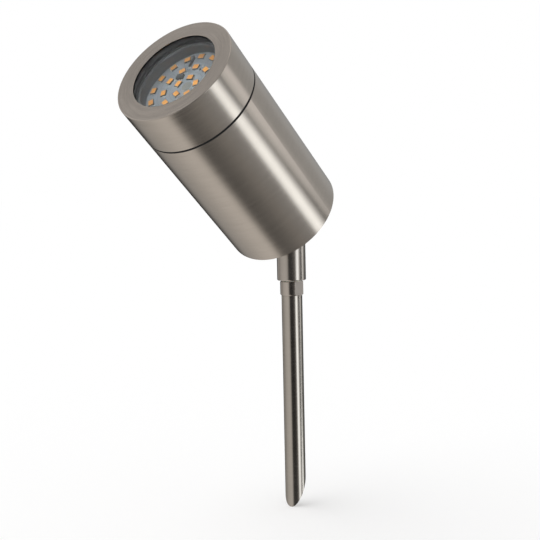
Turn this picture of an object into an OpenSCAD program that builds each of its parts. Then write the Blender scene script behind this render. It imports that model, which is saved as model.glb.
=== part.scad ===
// Garden spike spotlight: a round steel head on a tilting knuckle and a tube spike.
// The spike runs down the Z axis and the head aims towards -Y.
// The origin lies on the spike's axis, under the collar, at ground level.

/* [Head] */
// Outside diameter of the head
head_d = 60; // [58:0.5:80]
// Length of the body tube
body_l = 85; // [80:1:130]
// Wall of the body tube
body_wall = 2; // [1.4:0.1:2.6]
// Width of the dark groove between the ring and the body
groove_w = 0.7; // [0.5:0.1:1.5]
// Chamfer on the outer edges of the head
edge = 0.4; // [0.2:0.1:0.8]
// Thickness of the rear cap
cap_t = 4; // [3.6:0.1:6]
// Tilt of the head above the horizontal
tilt = 38.4; // [0:0.1:90]

/* [Front ring and glass] */
// Length of the front ring
ring_l = 21.5; // [16:0.5:30]
// Wall of the ring over its thread
ring_wall = 2.1; // [1.5:0.1:2.5]
// Width of the ring's lip in front of the glass
lip_w = 5; // [3:0.1:8]
// Thickness of the ring's front lip
lip_t = 0.6; // [0.5:0.1:3]
// Step from the thread in to the glass seat
seat_step = 1.3; // [0.8:0.1:1.8]
// Thickness of the front glass
glass_t = 4; // [3:0.5:6]
// Thickness of the rubber in front of the glass
gasket_front_t = 0.3; // [0.2:0.1:1]
// Thickness of the rubber behind the glass
gasket_back_t = 2.1; // [0.5:0.1:3]
// Thickness of the rubber round the rim of the glass
gasket_wall = 0.5; // [0.3:0.1:0.8]
// How far the rubber reaches in over the back of the glass
gasket_lap = 2; // [1:0.1:3]
// How far the collar reaches back into the body tube
collar_grip = 12; // [8:1:20]
// Wall of the collar inside the ring
collar_wall = 2.25; // [1.5:0.05:2.5]

/* [Lamp] */
// Gap round the lamp's front rim
lamp_gap = 0.6; // [0.4:0.1:2]
// Length of the lamp from its rim to the end of its base
lamp_l = 48; // [44:0.5:52]
// Width of the lamp's front rim
rim_w = 2.4; // [1.6:0.1:3]
// Wall of the lamp's tapered housing
lamp_wall = 1.8; // [1.2:0.1:2.4]
// Depth of the light board behind the rim
board_depth = 6.7; // [5:0.1:9]
// Thickness of the light board
board_t = 1.6; // [1:0.1:2]
// Thickness of the lamp's clear cover
cover_t = 1.2; // [0.8:0.1:2]
// Diameter of the wide part of the lamp's base
base_d = 27; // [24:0.5:30]
// Diameter of the narrow end of the lamp's base
base_tip_d = 19; // [17:0.5:22]
// Distance between the two pins
pin_gap = 10; // [9:0.1:12]
// Diameter of a pin's neck
pin_neck_d = 3; // [2.4:0.1:3.4]
// Diameter of a pin's head
pin_head_d = 5; // [4.4:0.1:5.4]
// Length of a pin's neck
pin_neck_l = 5.3; // [4.5:0.1:6.5]
// Length of a pin's head
pin_head_l = 2; // [1.5:0.1:3]
// Turn that frees the lamp from its holder
lamp_turn = 25; // [15:1:30]

/* [Lights on the board] */
// Number of lights in the inner ring
lights_inner = 5; // [3:1:5]
// Radius of the inner ring of lights, as a share of the board's
lights_first_share = 0.243; // [0.22:0.001:0.27]
// Step from each ring of lights to the next, as a share of the board's radius
lights_step_share = 0.288; // [0.26:0.001:0.3]
// Turn of the light rings about the head's axis
lights_turn = 15.7; // [0:0.1:72]
// Length of one light
light_l = 3.5; // [3:0.1:4]
// Width of one light
light_w = 2.8; // [2.4:0.1:3.2]
// Height of one light
light_h = 0.7; // [0.5:0.1:1.2]

/* [Lampholder and wiring] */
// Diameter of the lampholder
holder_d = 32; // [31:0.5:36]
// Width of the lampholder across its flats
holder_w = 22; // [20:0.5:26]
// Length of the lampholder
holder_l = 17; // [14:0.5:20]
// Thickness of the bracket's strip
bracket_t = 1.2; // [0.8:0.1:2]
// Width of the bracket's strip
bracket_w = 12; // [10:0.5:14]
// Distance between the poles of the terminal block
pole_gap = 7.5; // [7:0.1:8]
// Height of the terminal block
block_h = 12; // [11:0.5:14]
// Length of the terminal block's poles
block_w = 16; // [14:0.5:18]
// Diameter of a sleeved lead
lead_d = 1.8; // [1.2:0.1:2.2]

/* [Cable gland] */
// Gap between the gland's nut and the wall of the head
gland_edge = 1.5; // [1:0.1:1.7]
// Diameter of the cable that the gland seals
cable_d = 6.5; // [5:0.1:7.5]
// Diameter of the gland's thread
gland_thread_d = 12; // [11.5:0.1:12.5]
// Width across the flats of the gland's hexagons
gland_af = 15; // [14.5:0.1:15.5]

/* [Knuckle] */
// Diameter of the spigot under the head
spigot_d = 15.2; // [14.6:0.1:18]
// Height of the tilt axis above the spigot's bottom
pivot_rise = 29; // [27:0.5:40]
// Distance from the tilt axis to the rear of the head
pivot_to_rear = 10.4; // [10.2:0.1:14]
// Diameter of the tilt bolt
bolt_d = 5; // [4:0.5:5]
// Width of the spigot's slot
slot_w = 6.4; // [6:0.1:7]
// Thickness of the tongue in the slot
tongue_t = 5; // [4:0.1:5.2]
// Width of the tongue
tongue_w = 13; // [11:0.5:13]
// Diameter of the tongue's threaded shank
shank_d = 10; // [8:0.5:10.5]

/* [Spike] */
// Outside diameter of the spike
spike_d = 11; // [10:0.5:14]
// Wall of the spike's tube
spike_wall = 1; // [0.8:0.1:1.2]
// Length of the spike from the collar to its tip
spike_l = 112.4; // [90:0.1:250]
// Length of the slanted cut at the tip
tip_l = 21; // [12:0.5:30]
// Turn of the tip's cut about the spike
tip_turn = 6.5; // [-180:0.5:180]
// Diameter of the collar on top of the spike
collar_d = 12.2; // [12:0.1:15]
// Height of the collar
collar_h = 7.6; // [6:0.1:12]
// Width across the collar's two spanner flats
collar_af = 10; // [9:0.1:11]
// Turn of the collar's flats about the spike
flat_turn = -5; // [-90:1:90]
// Diameter of the threaded stud
stud_d = 8; // [6:0.5:8]
// Thickness of the washer under the spigot
swivel_washer_t = 0.45; // [0.3:0.05:0.8]

/* [Hidden] */
$fn = 96;

// Colours
steel = [0.62, 0.59, 0.56];
bright_steel = [0.74, 0.73, 0.71];
rubber_black = [0.08, 0.08, 0.08];
ceramic_white = [0.90, 0.89, 0.85];
lamp_grey = [0.42, 0.42, 0.42];
clear = [0.80, 0.86, 0.90, 0.35];
lead_brown = [0.45, 0.28, 0.16];
lead_blue = [0.20, 0.38, 0.68];
lead_green = [0.45, 0.62, 0.18];
board_green = [0.20, 0.42, 0.25];
part_black = [0.12, 0.14, 0.14];
board_grey = [0.62, 0.66, 0.70];
phosphor = [0.95, 0.62, 0.20];
brass = [0.80, 0.66, 0.36];
nylon = [0.86, 0.85, 0.80];

// Clearances
over = 1;            // how far a cut runs past the solid it cuts
press_gap = 0.02;    // between parts pressed or screwed together
run_gap = 0.05;      // between parts that turn or slide on each other
face_gap = 0.2;      // between facing parts on different bodies
hole_gap = 0.2;      // round a fixing or a lead in its hole
tangent_gap = 0.05;  // keeps the side of a slot just inside its round end

// Head, seen from its front face backwards along its axis
head_r = head_d / 2;
tube_bore_r = head_r - body_wall;
thread_r = head_r - ring_wall;
seat_r = thread_r - seat_step;
window_r = seat_r - lip_w;
head_l = ring_l + groove_w + body_l;
face_z = pivot_to_rear + head_l;
tube_front = ring_l + groove_w;
cap_inside = head_l - cap_t;

// Height of the tilt axis above the ground line
spigot_bottom = collar_h + swivel_washer_t + run_gap;
pivot_h = spigot_bottom + pivot_rise;

// Depths of the glass and its rubber behind the front face
glass_front = lip_t + gasket_front_t;
glass_back = glass_front + glass_t;
gasket_end = glass_back + gasket_back_t;
glass_r = seat_r - gasket_wall - press_gap;
gasket_set = 0.3;
collar_front = gasket_end + run_gap;
collar_bore_r = thread_r - run_gap - collar_wall;
groove_seal_r = head_r - 2 * edge;

// Lamp
lamp_front = gasket_end + face_gap;
lamp_r = collar_bore_r - lamp_gap;
cavity_r = lamp_r - rim_w;
cover_set = 0.4;
cover_wall = 1;
cover_round = 0.8;
cover_bevel = 0.24;
board_front = lamp_front + board_depth;
board_back = board_front + board_t;
board_ledge = 1.6;
base_end = lamp_front + lamp_l;
neck_end = base_end + pin_neck_l;
pin_end = neck_end + pin_head_l;
// Outline of the housing: share of the lamp's radius, then share of its length
housing_shares = [[1, 0], [1, 0.13], [0.955, 0.26], [0.83, 0.45], [0.69, 0.64], [0.62, 0.76]];
base_share = 0.76;
base_tip_share = 0.86;
base_start = lamp_front + lamp_l * base_share;
wide_end = lamp_front + lamp_l * base_tip_share;
base_sink = 3;

// Lights: the rings have 1, 2 and 3 times the inner ring's count
light_rings = [1, 2, 3];
lights_first_r = lights_first_share * cavity_r;
lights_step = lights_step_share * cavity_r;
window_margin = 0.25;
window_t = 0.06;

// Small parts on the light board: places are shares of the board's radius
chip_share = [-0.274, 0.283];
chip_size = [4, 2.8, 1.1];
bar_share = [-0.158, 0.69];
bar_size = [1.2, 6, 0.9];
dot_share = [-0.204, 0.854];
dot_d = 1.2;
dot_h = 0.5;

// Driver inside the lamp
driver_size = [20, 1.2, 22];
coil_d = 8;
coil_h = 7;
capacitor_d = 6.5;
capacitor_l = 10;

// Lampholder
pin_r = pin_gap / 2;
holder_front = base_end + face_gap;
ledge_back = neck_end - face_gap;
contact_t = 0.8;
contact_front = pin_end + face_gap;
cavity_floor = contact_front + contact_t;
holder_back = holder_front + holder_l;
cavity_half = pin_head_d / 2 + hole_gap;
neck_half = pin_neck_d / 2 + hole_gap;
contact_half = pin_head_d / 2 - 2 * hole_gap;
screw_d = 3;
screw_head_d = 5.5;
screw_head_h = 2;
holder_screw_edge = 0.6;
holder_screw_x = holder_d / 2 - holder_screw_edge - hole_gap - screw_head_d / 2;
slot_cut_w = 0.8;
slot_cut_t = 1;

// Bracket
bridge_back = holder_back + bracket_t;
leg_gap = 1.4;
leg_x = holder_d / 2 + leg_gap;
foot_w = 6.2;
foot_end = leg_x + bracket_t + foot_w;
foot_screw_x = foot_end - foot_w / 2;
screw_bite = 2.6;

// Terminal block
pole_count = 3;
block_l = pole_count * pole_gap;
barrel_r = 2.1;
barrel_bore_r = 1.4;
barrel_share = 0.42;
barrel_depth = bridge_back + barrel_share * block_h;
block_back = bridge_back + block_h;
pole_screw_r = 1.2;
pole_screw_y = block_w / 4;
fixing_r = 1.1;
fixing_head_r = 1.5;
fixing_head_h = 1;
lead_in = 3;

// Leads
lead_sides = 8;
lead_steps = 20;
lead_start_y = -(bracket_w / 2 + holder_w / 2) / 2;
lead_reach = 11;
lead_bow = 9;
earth_x = -13;
earth_y = -17;
earth_screw_d = 4;
earth_head_r = 3.6;
earth_head_h = 2.4;
tag_t = 0.8;
tag_r = 4;
crimp_r = 1.6;
crimp_l = 4;

// Cable gland, measured along the head's axis from the tilt axis
cable_r = cable_d / 2;
gland_offset = tube_bore_r - gland_edge - gland_af / 2;
gland_r = gland_thread_d / 2;
gland_hex_h = 4;
gland_stub_l = 5.5;
gland_stub_wall = 1.3;
gland_stub_r = gland_r + 0.5 * gland_stub_wall;
gland_nut_h = 4;
gland_seal_r = gland_stub_r - gland_stub_wall;
gland_bore_r = cable_r + 3 * hole_gap;
gland_tail = 1.1;
gland_lip_t = 4;
gland_stub_z = pivot_to_rear - gland_hex_h - gland_stub_l;
gland_seal_l = 7;
gland_shank_l = cap_t + gland_nut_h + gland_tail;

// Knuckle
spigot_r = spigot_d / 2;
bolt_r = bolt_d / 2;
ear_trim = 0.6;
ear_r = spigot_r - ear_trim;
tongue_r = tongue_w / 2;
slot_drop = tongue_r + 1.7;
pivot_washer_t = 0.6;
pivot_washer_r = 5.2;
ear_wall = 1.7;
ear_seat = slot_w / 2 + ear_wall;
bolt_head_r = 4.2;
bolt_key_af = 3;
bolt_key_t = 1.6;
bolt_nut_af = 8;
seal_t = 0.8;
flange_t = 1.6;
flange_r = 7.5;
flange_back = pivot_to_rear - seal_t - flange_t;
shank_washer_t = 1;
shank_nut_h = 5;
shank_nut_af = 15;
shank_tail = 1.2;
stud_depth = 15.4;
stud_pit = 1.2;
spigot_edge = 0.4;

// Spike
spike_r = spike_d / 2;
spike_bore_r = spike_r - spike_wall;
plug_l = 14;
collar_edge = 0.7;
collar_top_edge = 0.3;
stud_r = stud_d / 2;
tip_angle = atan(tip_l / spike_d);
cut_size = 4 * (spike_d + tip_l);

// Places on the head: its axis runs from the tilt axis forwards
module at_head() {
    translate([0, 0, pivot_h]) rotate([90 - tilt, 0, 0]) children();
}

// Puts children at a depth behind the front face
module at_depth(depth) {
    translate([0, 0, face_z - depth]) children();
}

// A solid of revolution from points of radius and depth behind the front face
module turned(points) {
    rotate_extrude() polygon([for (p = points) [p[0], face_z - p[1]]]);
}

// A ring or a disc between two depths
module sleeve(from, to, outer, inner) {
    at_depth(to) difference() {
        cylinder(h = to - from, r = outer);
        translate([0, 0, -over]) cylinder(h = to - from + 2 * over, r = inner);
    }
}

// A hexagonal nut with a round hole, standing on z = 0
module hex_nut(af, height, hole_r) {
    difference() {
        cylinder(h = height, r = af / 2 / cos(30), $fn = 6);
        translate([0, 0, -over]) cylinder(h = height + 2 * over, r = hole_r);
    }
}

// A slotted screw: its head stands on z = 0 and its shank hangs below
module slot_screw(shank_r, shank_l, head_r, head_h) {
    difference() {
        union() {
            cylinder(h = head_h, r = head_r);
            translate([0, 0, -shank_l]) cylinder(h = shank_l + head_h / 2, r = shank_r);
        }
        translate([-head_r - over, -slot_cut_w / 2, head_h - min(slot_cut_t, head_h / 2)])
            cube([2 * (head_r + over), slot_cut_w, head_h]);
    }
}

// An arc-shaped slot with round ends, from angle zero to the lamp's turn, on both pin sides
module arc_slots(half_w, height) {
    for (side = [0, 180]) rotate([0, 0, side]) {
        rotate_extrude(angle = lamp_turn)
            translate([pin_r - half_w + tangent_gap, 0])
            square([2 * (half_w - tangent_gap), height]);
        for (a = [0, lamp_turn]) rotate([0, 0, a])
            translate([pin_r, 0, 0]) cylinder(h = height, r = half_w);
    }
}

// Points along a curve that leaves p0 towards p1 and reaches p3 from p2
function curve(p0, p1, p2, p3) = [
    for (i = [0:lead_steps]) let (t = i / lead_steps, s = 1 - t)
        s * s * s * p0 + 3 * s * s * t * p1 + 3 * s * t * t * p2 + t * t * t * p3
];
function unit(v) = v / norm(v);
function tangent(path, i) =
    unit(path[min(i + 1, len(path) - 1)] - path[max(i - 1, 0)]);

// A tube of one radius along a path; side_hint is never parallel to the path
module tube_along(path, radius, side_hint) {
    rings = len(path);
    points = [
        for (i = [0:rings - 1])
            let (t = tangent(path, i), a = unit(cross(t, side_hint)), b = cross(t, a))
            for (k = [0:lead_sides - 1])
                path[i] + radius * (cos(360 * k / lead_sides) * a + sin(360 * k / lead_sides) * b)
    ];
    walls = [
        for (i = [0:rings - 2]) for (k = [0:lead_sides - 1])
            let (n = (k + 1) % lead_sides, low = i * lead_sides, high = low + lead_sides)
            each [[low + k, high + k, high + n], [low + k, high + n, low + n]]
    ];
    start_cap = [[for (k = [0:lead_sides - 1]) k]];
    end_cap = [[for (k = [0:lead_sides - 1]) rings * lead_sides - 1 - k]];
    polyhedron(points = points, faces = concat(walls, start_cap, end_cap));
}

// Spike

module spike_tube() {
    color(steel) difference() {
        translate([0, 0, -spike_l]) cylinder(h = spike_l, r = spike_r);
        translate([0, 0, -spike_l - over]) cylinder(h = spike_l + 2 * over, r = spike_bore_r);
        rotate([0, 0, tip_turn]) translate([0, 0, tip_l / 2 - spike_l]) rotate([tip_angle, 0, 0])
            translate([-cut_size / 2, -cut_size / 2, -cut_size]) cube(cut_size);
    }
}

module spike_stud() {
    collar_r = collar_d / 2;
    color(bright_steel) union() {
        intersection() {
            rotate_extrude() polygon([
                [0, 0], [collar_r - collar_edge, 0], [collar_r, collar_edge],
                [collar_r, collar_h - collar_top_edge],
                [collar_r - collar_top_edge, collar_h], [0, collar_h]
            ]);
            rotate([0, 0, flat_turn]) translate([-collar_af / 2, -collar_d, -over])
                cube([collar_af, 2 * collar_d, collar_h + 2 * over]);
        }
        translate([0, 0, -plug_l])
            cylinder(h = plug_l + collar_h / 2, r = spike_bore_r - press_gap);
        translate([0, 0, collar_h / 2])
            cylinder(h = spigot_bottom + stud_depth - collar_h / 2, r = stud_r);
    }
}

module swivel_washer() {
    color(nylon) translate([0, 0, collar_h]) difference() {
        cylinder(h = swivel_washer_t, r = collar_af / 2);
        translate([0, 0, -over])
            cylinder(h = swivel_washer_t + 2 * over, r = stud_r + press_gap);
    }
}

// Knuckle

module swivel_fork() {
    color(steel) difference() {
        intersection() {
            rotate_extrude() polygon([
                [0, spigot_bottom], [spigot_r - spigot_edge, spigot_bottom],
                [spigot_r, spigot_bottom + spigot_edge],
                [spigot_r, pivot_h + spigot_r], [0, pivot_h + spigot_r]
            ]);
            union() {
                translate([-spigot_d, -spigot_d, 0]) cube([2 * spigot_d, 2 * spigot_d, pivot_h]);
                translate([-spigot_d, 0, pivot_h]) rotate([0, 90, 0])
                    cylinder(h = 2 * spigot_d, r = ear_r);
            }
        }
        translate([-slot_w / 2, -spigot_d, pivot_h - slot_drop])
            cube([slot_w, 2 * spigot_d, spigot_d + slot_drop]);
        translate([0, 0, spigot_bottom - over])
            cylinder(h = stud_depth + stud_pit + over, r = stud_r + run_gap);
        translate([-spigot_d, 0, pivot_h]) rotate([0, 90, 0])
            cylinder(h = 2 * spigot_d, r = bolt_r + press_gap);
        translate([ear_seat, 0, pivot_h]) rotate([0, 90, 0])
            cylinder(h = spigot_r, r = bolt_head_r + hole_gap);
        translate([-ear_seat, 0, pivot_h]) rotate([0, -90, 0])
            cylinder(h = spigot_r, r = (bolt_nut_af / 2 + hole_gap) / cos(30), $fn = 6);
    }
}

module pivot_bolt() {
    color(bright_steel) translate([0, 0, pivot_h]) rotate([0, 90, 0]) difference() {
        union() {
            translate([0, 0, -spigot_r]) cylinder(h = spigot_r + ear_seat, r = bolt_r);
            translate([0, 0, ear_seat]) cylinder(h = spigot_r - ear_seat, r = bolt_head_r);
        }
        translate([0, 0, spigot_r - bolt_key_t])
            cylinder(h = bolt_key_t + over, r = bolt_key_af / 2 / cos(30), $fn = 6);
    }
}

module pivot_nut() {
    color(bright_steel) translate([-ear_seat, 0, pivot_h]) rotate([0, -90, 0])
        hex_nut(bolt_nut_af, spigot_r - ear_seat, bolt_r + press_gap);
}

module pivot_washers() {
    color(nylon) for (side = [0, 180]) translate([0, 0, pivot_h]) rotate([0, 0, side])
        translate([slot_w / 2 - pivot_washer_t, 0, 0]) rotate([0, 90, 0]) difference() {
            cylinder(h = pivot_washer_t, r = pivot_washer_r);
            translate([0, 0, -over])
                cylinder(h = pivot_washer_t + 2 * over, r = bolt_r + press_gap);
        }
}

module head_tongue() {
    shank_l = seal_t + cap_t + shank_washer_t + shank_nut_h + shank_tail;
    color(bright_steel) at_head() difference() {
        union() {
            translate([-tongue_t / 2, 0, 0]) rotate([0, 90, 0])
                cylinder(h = tongue_t, r = tongue_r);
            translate([-tongue_t / 2, -tongue_r, 0])
                cube([tongue_t, tongue_w, flange_back + flange_t / 2]);
            translate([0, 0, flange_back]) cylinder(h = flange_t, r = flange_r);
            translate([0, 0, flange_back + flange_t / 2])
                cylinder(h = shank_l + flange_t / 2, r = shank_d / 2);
        }
        translate([-tongue_t, 0, 0]) rotate([0, 90, 0])
            cylinder(h = 2 * tongue_t, r = bolt_r + run_gap);
    }
}

module tongue_seal() {
    color(rubber_black) at_head() sleeve(
        head_l, head_l + seal_t, flange_r, shank_d / 2 + press_gap);
}

module tongue_washer() {
    color(bright_steel) at_head() sleeve(
        cap_inside - shank_washer_t, cap_inside, shank_nut_af / 2, shank_d / 2 + press_gap);
}

module tongue_nut() {
    color(bright_steel) at_head() at_depth(cap_inside - shank_washer_t)
        hex_nut(shank_nut_af, shank_nut_h, shank_d / 2 + press_gap);
}

// Head shell

module rear_cap() {
    cap_r = tube_bore_r - press_gap;
    color(steel) at_head() difference() {
        turned([
            [0, head_l], [cap_r - edge, head_l], [cap_r, head_l - edge],
            [cap_r, cap_inside], [0, cap_inside]
        ]);
        at_depth(head_l + over) cylinder(h = cap_t + 2 * over, r = shank_d / 2 + hole_gap);
        translate([0, gland_offset, 0]) at_depth(head_l + over)
            cylinder(h = cap_t + 2 * over, r = gland_r + hole_gap);
        for (x = [-foot_screw_x, foot_screw_x]) translate([x, 0, 0])
            at_depth(cap_inside + screw_bite + press_gap)
            cylinder(h = screw_bite + over, r = screw_d / 2 + press_gap);
        translate([earth_x, earth_y, 0]) at_depth(cap_inside + screw_bite + press_gap)
            cylinder(h = screw_bite + over, r = earth_screw_d / 2 + press_gap);
    }
}

module body_tube() {
    color(steel) at_head() turned([
        [tube_bore_r, tube_front], [head_r - edge, tube_front], [head_r, tube_front + edge],
        [head_r, head_l - edge], [head_r - edge, head_l], [tube_bore_r, head_l]
    ]);
}

module thread_collar() {
    male_r = thread_r - run_gap;
    grip_r = tube_bore_r - press_gap;
    grip_end = tube_front + collar_grip;
    color(bright_steel) at_head() turned([
        [collar_bore_r, collar_front], [male_r - edge, collar_front],
        [male_r, collar_front + edge], [male_r, tube_front],
        [grip_r, tube_front], [grip_r, grip_end], [collar_bore_r, grip_end]
    ]);
}

module groove_seal() {
    color(rubber_black) at_head()
        sleeve(ring_l + run_gap, tube_front, groove_seal_r, thread_r);
}

module front_ring() {
    color(steel) at_head() turned([
        [window_r + edge / 2, 0], [head_r - edge, 0], [head_r, edge],
        [head_r, ring_l - edge], [head_r - edge, ring_l], [thread_r + edge, ring_l],
        [thread_r, ring_l - edge], [thread_r, gasket_end], [seat_r, gasket_end],
        [seat_r, lip_t], [window_r, lip_t], [window_r, edge / 2]
    ]);
}

module front_glass() {
    color(clear) at_head() at_depth(glass_back - press_gap)
        cylinder(h = glass_t - 2 * press_gap, r = glass_r);
}

module glass_gasket() {
    outer = seat_r - run_gap;
    wall_in = seat_r - gasket_wall;
    front_in = window_r + gasket_set;
    back_in = wall_in - gasket_lap;
    color(rubber_black) at_head() turned([
        [front_in, lip_t + run_gap], [outer, lip_t + run_gap], [outer, gasket_end],
        [back_in, gasket_end], [back_in, glass_back], [wall_in, glass_back],
        [wall_in, glass_front], [front_in, glass_front]
    ]);
}

// Cable gland on the rear cap

module at_gland() {
    at_head() translate([0, gland_offset, 0]) children();
}

module cable_gland() {
    color(nylon) at_gland() difference() {
        union() {
            translate([0, 0, gland_stub_z])
                cylinder(h = gland_stub_l + gland_hex_h / 2, r = gland_stub_r);
            translate([0, 0, gland_stub_z + gland_stub_l])
                cylinder(h = gland_hex_h, r = gland_af / 2 / cos(30), $fn = 6);
            translate([0, 0, gland_stub_z + gland_stub_l + gland_hex_h / 2])
                cylinder(h = gland_hex_h / 2 + gland_shank_l, r = gland_r);
        }
        translate([0, 0, gland_stub_z - over])
            cylinder(h = gland_seal_l + over, r = gland_seal_r + press_gap);
        translate([0, 0, gland_stub_z])
            cylinder(h = gland_stub_l + gland_hex_h + gland_shank_l + over, r = gland_bore_r);
    }
}

module gland_seal() {
    color(rubber_black) at_gland() translate([0, 0, gland_stub_z]) difference() {
        cylinder(h = gland_seal_l, r = gland_seal_r);
        translate([0, 0, -over]) cylinder(h = gland_seal_l + 2 * over, r = cable_r);
    }
}

module gland_cap() {
    cap_l = gland_stub_l + gland_lip_t - run_gap;
    color(nylon) at_gland() translate([0, 0, gland_stub_z - gland_lip_t]) difference() {
        intersection() {
            cylinder(h = cap_l, r = gland_af / 2 / cos(30), $fn = 6);
            rotate_extrude() polygon([
                [0, 0], [gland_bore_r + gland_stub_wall, 0],
                [gland_af / 2 / cos(30), gland_lip_t], [gland_af / 2 / cos(30), cap_l], [0, cap_l]
            ]);
        }
        translate([0, 0, -over]) cylinder(h = cap_l + 2 * over, r = gland_bore_r);
        translate([0, 0, gland_lip_t])
            cylinder(h = cap_l, r = gland_stub_r + press_gap);
    }
}

module gland_locknut() {
    color(nylon) at_gland() at_depth(cap_inside)
        hex_nut(gland_af, gland_nut_h, gland_r + press_gap);
}

// Lampholder, bracket and wiring

module holder_bracket() {
    outer_x = leg_x + bracket_t;
    foot_front = cap_inside - bracket_t;
    half = [
        [foot_end, cap_inside], [foot_end, foot_front],
        [outer_x, foot_front], [outer_x, holder_back]
    ];
    inner = [[leg_x, bridge_back], [leg_x, cap_inside]];
    left = [for (i = [len(half) - 1:-1:0]) [-half[i][0], half[i][1]]];
    inner_left = [for (i = [len(inner) - 1:-1:0]) [-inner[i][0], inner[i][1]]];
    outline = concat(half, left, inner_left, inner);
    color(bright_steel) at_head() difference() {
        rotate([90, 0, 0]) translate([0, 0, -bracket_w / 2])
            linear_extrude(height = bracket_w)
            polygon([for (p = outline) [p[0], face_z - p[1]]]);
        for (x = [-holder_screw_x, holder_screw_x]) translate([x, 0, 0])
            at_depth(bridge_back + over)
            cylinder(h = bracket_t + 2 * over, r = screw_d / 2 + press_gap);
        for (x = [-foot_screw_x, foot_screw_x]) translate([x, 0, 0])
            at_depth(cap_inside + over)
            cylinder(h = bracket_t + 2 * over, r = screw_d / 2 + hole_gap);
        for (x = [-pole_gap / 2, pole_gap / 2]) translate([x, 0, 0])
            at_depth(bridge_back + over)
            cylinder(h = bracket_t + 2 * over, r = fixing_r + press_gap);
    }
}

module bracket_screws() {
    color(bright_steel) at_head() for (x = [-foot_screw_x, foot_screw_x])
        translate([x, 0, 0]) at_depth(cap_inside - bracket_t)
        slot_screw(screw_d / 2, bracket_t + screw_bite, screw_head_d / 2, screw_head_h);
}

module lamp_holder() {
    color(ceramic_white) at_head() difference() {
        at_depth(holder_back) intersection() {
            cylinder(h = holder_l, r = holder_d / 2);
            translate([-holder_d, -holder_w / 2, -over])
                cube([2 * holder_d, holder_w, holder_l + 2 * over]);
        }
        at_depth(cavity_floor) arc_slots(cavity_half, cavity_floor - ledge_back);
        at_depth(ledge_back + over / 2)
            arc_slots(neck_half, ledge_back - holder_front + over);
        for (side = [0, 180]) rotate([0, 0, side + lamp_turn]) translate([pin_r, 0, 0])
            at_depth(ledge_back + over / 2)
            cylinder(h = ledge_back - holder_front + over, r = cavity_half);
        for (x = [-holder_screw_x, holder_screw_x]) translate([x, 0, 0]) {
            at_depth(holder_back + over)
                cylinder(h = holder_l + 2 * over, r = screw_d / 2 + hole_gap);
            at_depth(holder_front + screw_head_h + hole_gap)
                cylinder(h = screw_head_h + hole_gap + over, r = screw_head_d / 2 + hole_gap);
        }
        for (side = [-1, 1]) translate([side * pin_r, lead_start_y, 0])
            at_depth(holder_back + over)
            cylinder(h = lead_in + over, r = lead_d / 2 + hole_gap);
    }
}

module holder_contacts() {
    color(brass) at_head() at_depth(cavity_floor - press_gap)
        arc_slots(contact_half, contact_t - press_gap);
}

module holder_screws() {
    seat = holder_front + screw_head_h + hole_gap;
    color(bright_steel) at_head() for (x = [-holder_screw_x, holder_screw_x])
        translate([x, 0, 0]) at_depth(seat)
        slot_screw(screw_d / 2, bridge_back - seat, screw_head_d / 2, screw_head_h);
}

module terminal_block() {
    color(nylon) at_head() difference() {
        translate([-block_l / 2, -block_w / 2, face_z - block_back])
            cube([block_l, block_w, block_h]);
        for (i = [-1, 0, 1]) {
            translate([i * pole_gap, block_w / 2 + over, face_z - barrel_depth]) rotate([90, 0, 0])
                cylinder(h = block_w + 2 * over, r = barrel_r + press_gap);
            for (y = [-pole_screw_y, pole_screw_y]) translate([i * pole_gap, y, 0])
                at_depth(block_back + over)
                cylinder(h = block_back - barrel_depth + over, r = pole_screw_r + hole_gap);
        }
        for (x = [-pole_gap / 2, pole_gap / 2]) translate([x, 0, 0]) {
            at_depth(block_back + over) cylinder(h = block_h + 2 * over, r = fixing_r + press_gap);
            at_depth(block_back + over)
                cylinder(h = fixing_head_h + over, r = fixing_head_r + press_gap);
        }
    }
}

module terminal_barrels() {
    barrel_l = block_w - 2 * edge;
    color(brass) at_head() for (i = [-1, 0, 1]) difference() {
        translate([i * pole_gap, barrel_l / 2, face_z - barrel_depth]) rotate([90, 0, 0])
            cylinder(h = barrel_l, r = barrel_r);
        translate([i * pole_gap, block_w / 2, face_z - barrel_depth]) rotate([90, 0, 0])
            cylinder(h = block_w, r = barrel_bore_r);
        for (y = [-pole_screw_y, pole_screw_y]) translate([i * pole_gap, y, 0])
            at_depth(block_back) cylinder(
                h = block_back - barrel_depth, r = pole_screw_r + press_gap);
    }
}

module terminal_screws() {
    screw_end = barrel_depth + lead_d / 2 + press_gap;
    color(bright_steel) at_head() for (i = [-1, 0, 1]) for (y = [-pole_screw_y, pole_screw_y])
        translate([i * pole_gap, y, 0]) at_depth(block_back - edge) difference() {
            cylinder(h = block_back - edge - screw_end, r = pole_screw_r);
            translate([-barrel_r, -slot_cut_w / 4, -over])
                cube([2 * barrel_r, slot_cut_w / 2, over + edge]);
        }
}

module terminal_fixings() {
    color(bright_steel) at_head() for (x = [-pole_gap / 2, pole_gap / 2])
        translate([x, 0, 0]) at_depth(block_back) difference() {
            union() {
                cylinder(h = fixing_head_h, r = fixing_head_r);
                cylinder(h = block_h + bracket_t, r = fixing_r);
            }
            translate([-fixing_head_r, -slot_cut_w / 4, -over])
                cube([2 * fixing_head_r, slot_cut_w / 2, over + edge]);
        }
}

// A lead from the back of the lampholder, in a loop, into the end of a pole
module holder_lead(side) {
    start = [side * pin_r, lead_start_y, face_z - holder_back + lead_in];
    finish = [side * pole_gap, lead_in - block_w / 2, face_z - barrel_depth];
    leave = start - [0, 0, lead_in + lead_bow];
    arrive = finish - [0, lead_in + lead_reach, 0];
    at_head() tube_along(curve(start, leave, arrive, finish), lead_d / 2, [1, 0, 0]);
}

module live_lead() {
    color(lead_brown) holder_lead(-1);
}

module neutral_lead() {
    color(lead_blue) holder_lead(1);
}

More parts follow.
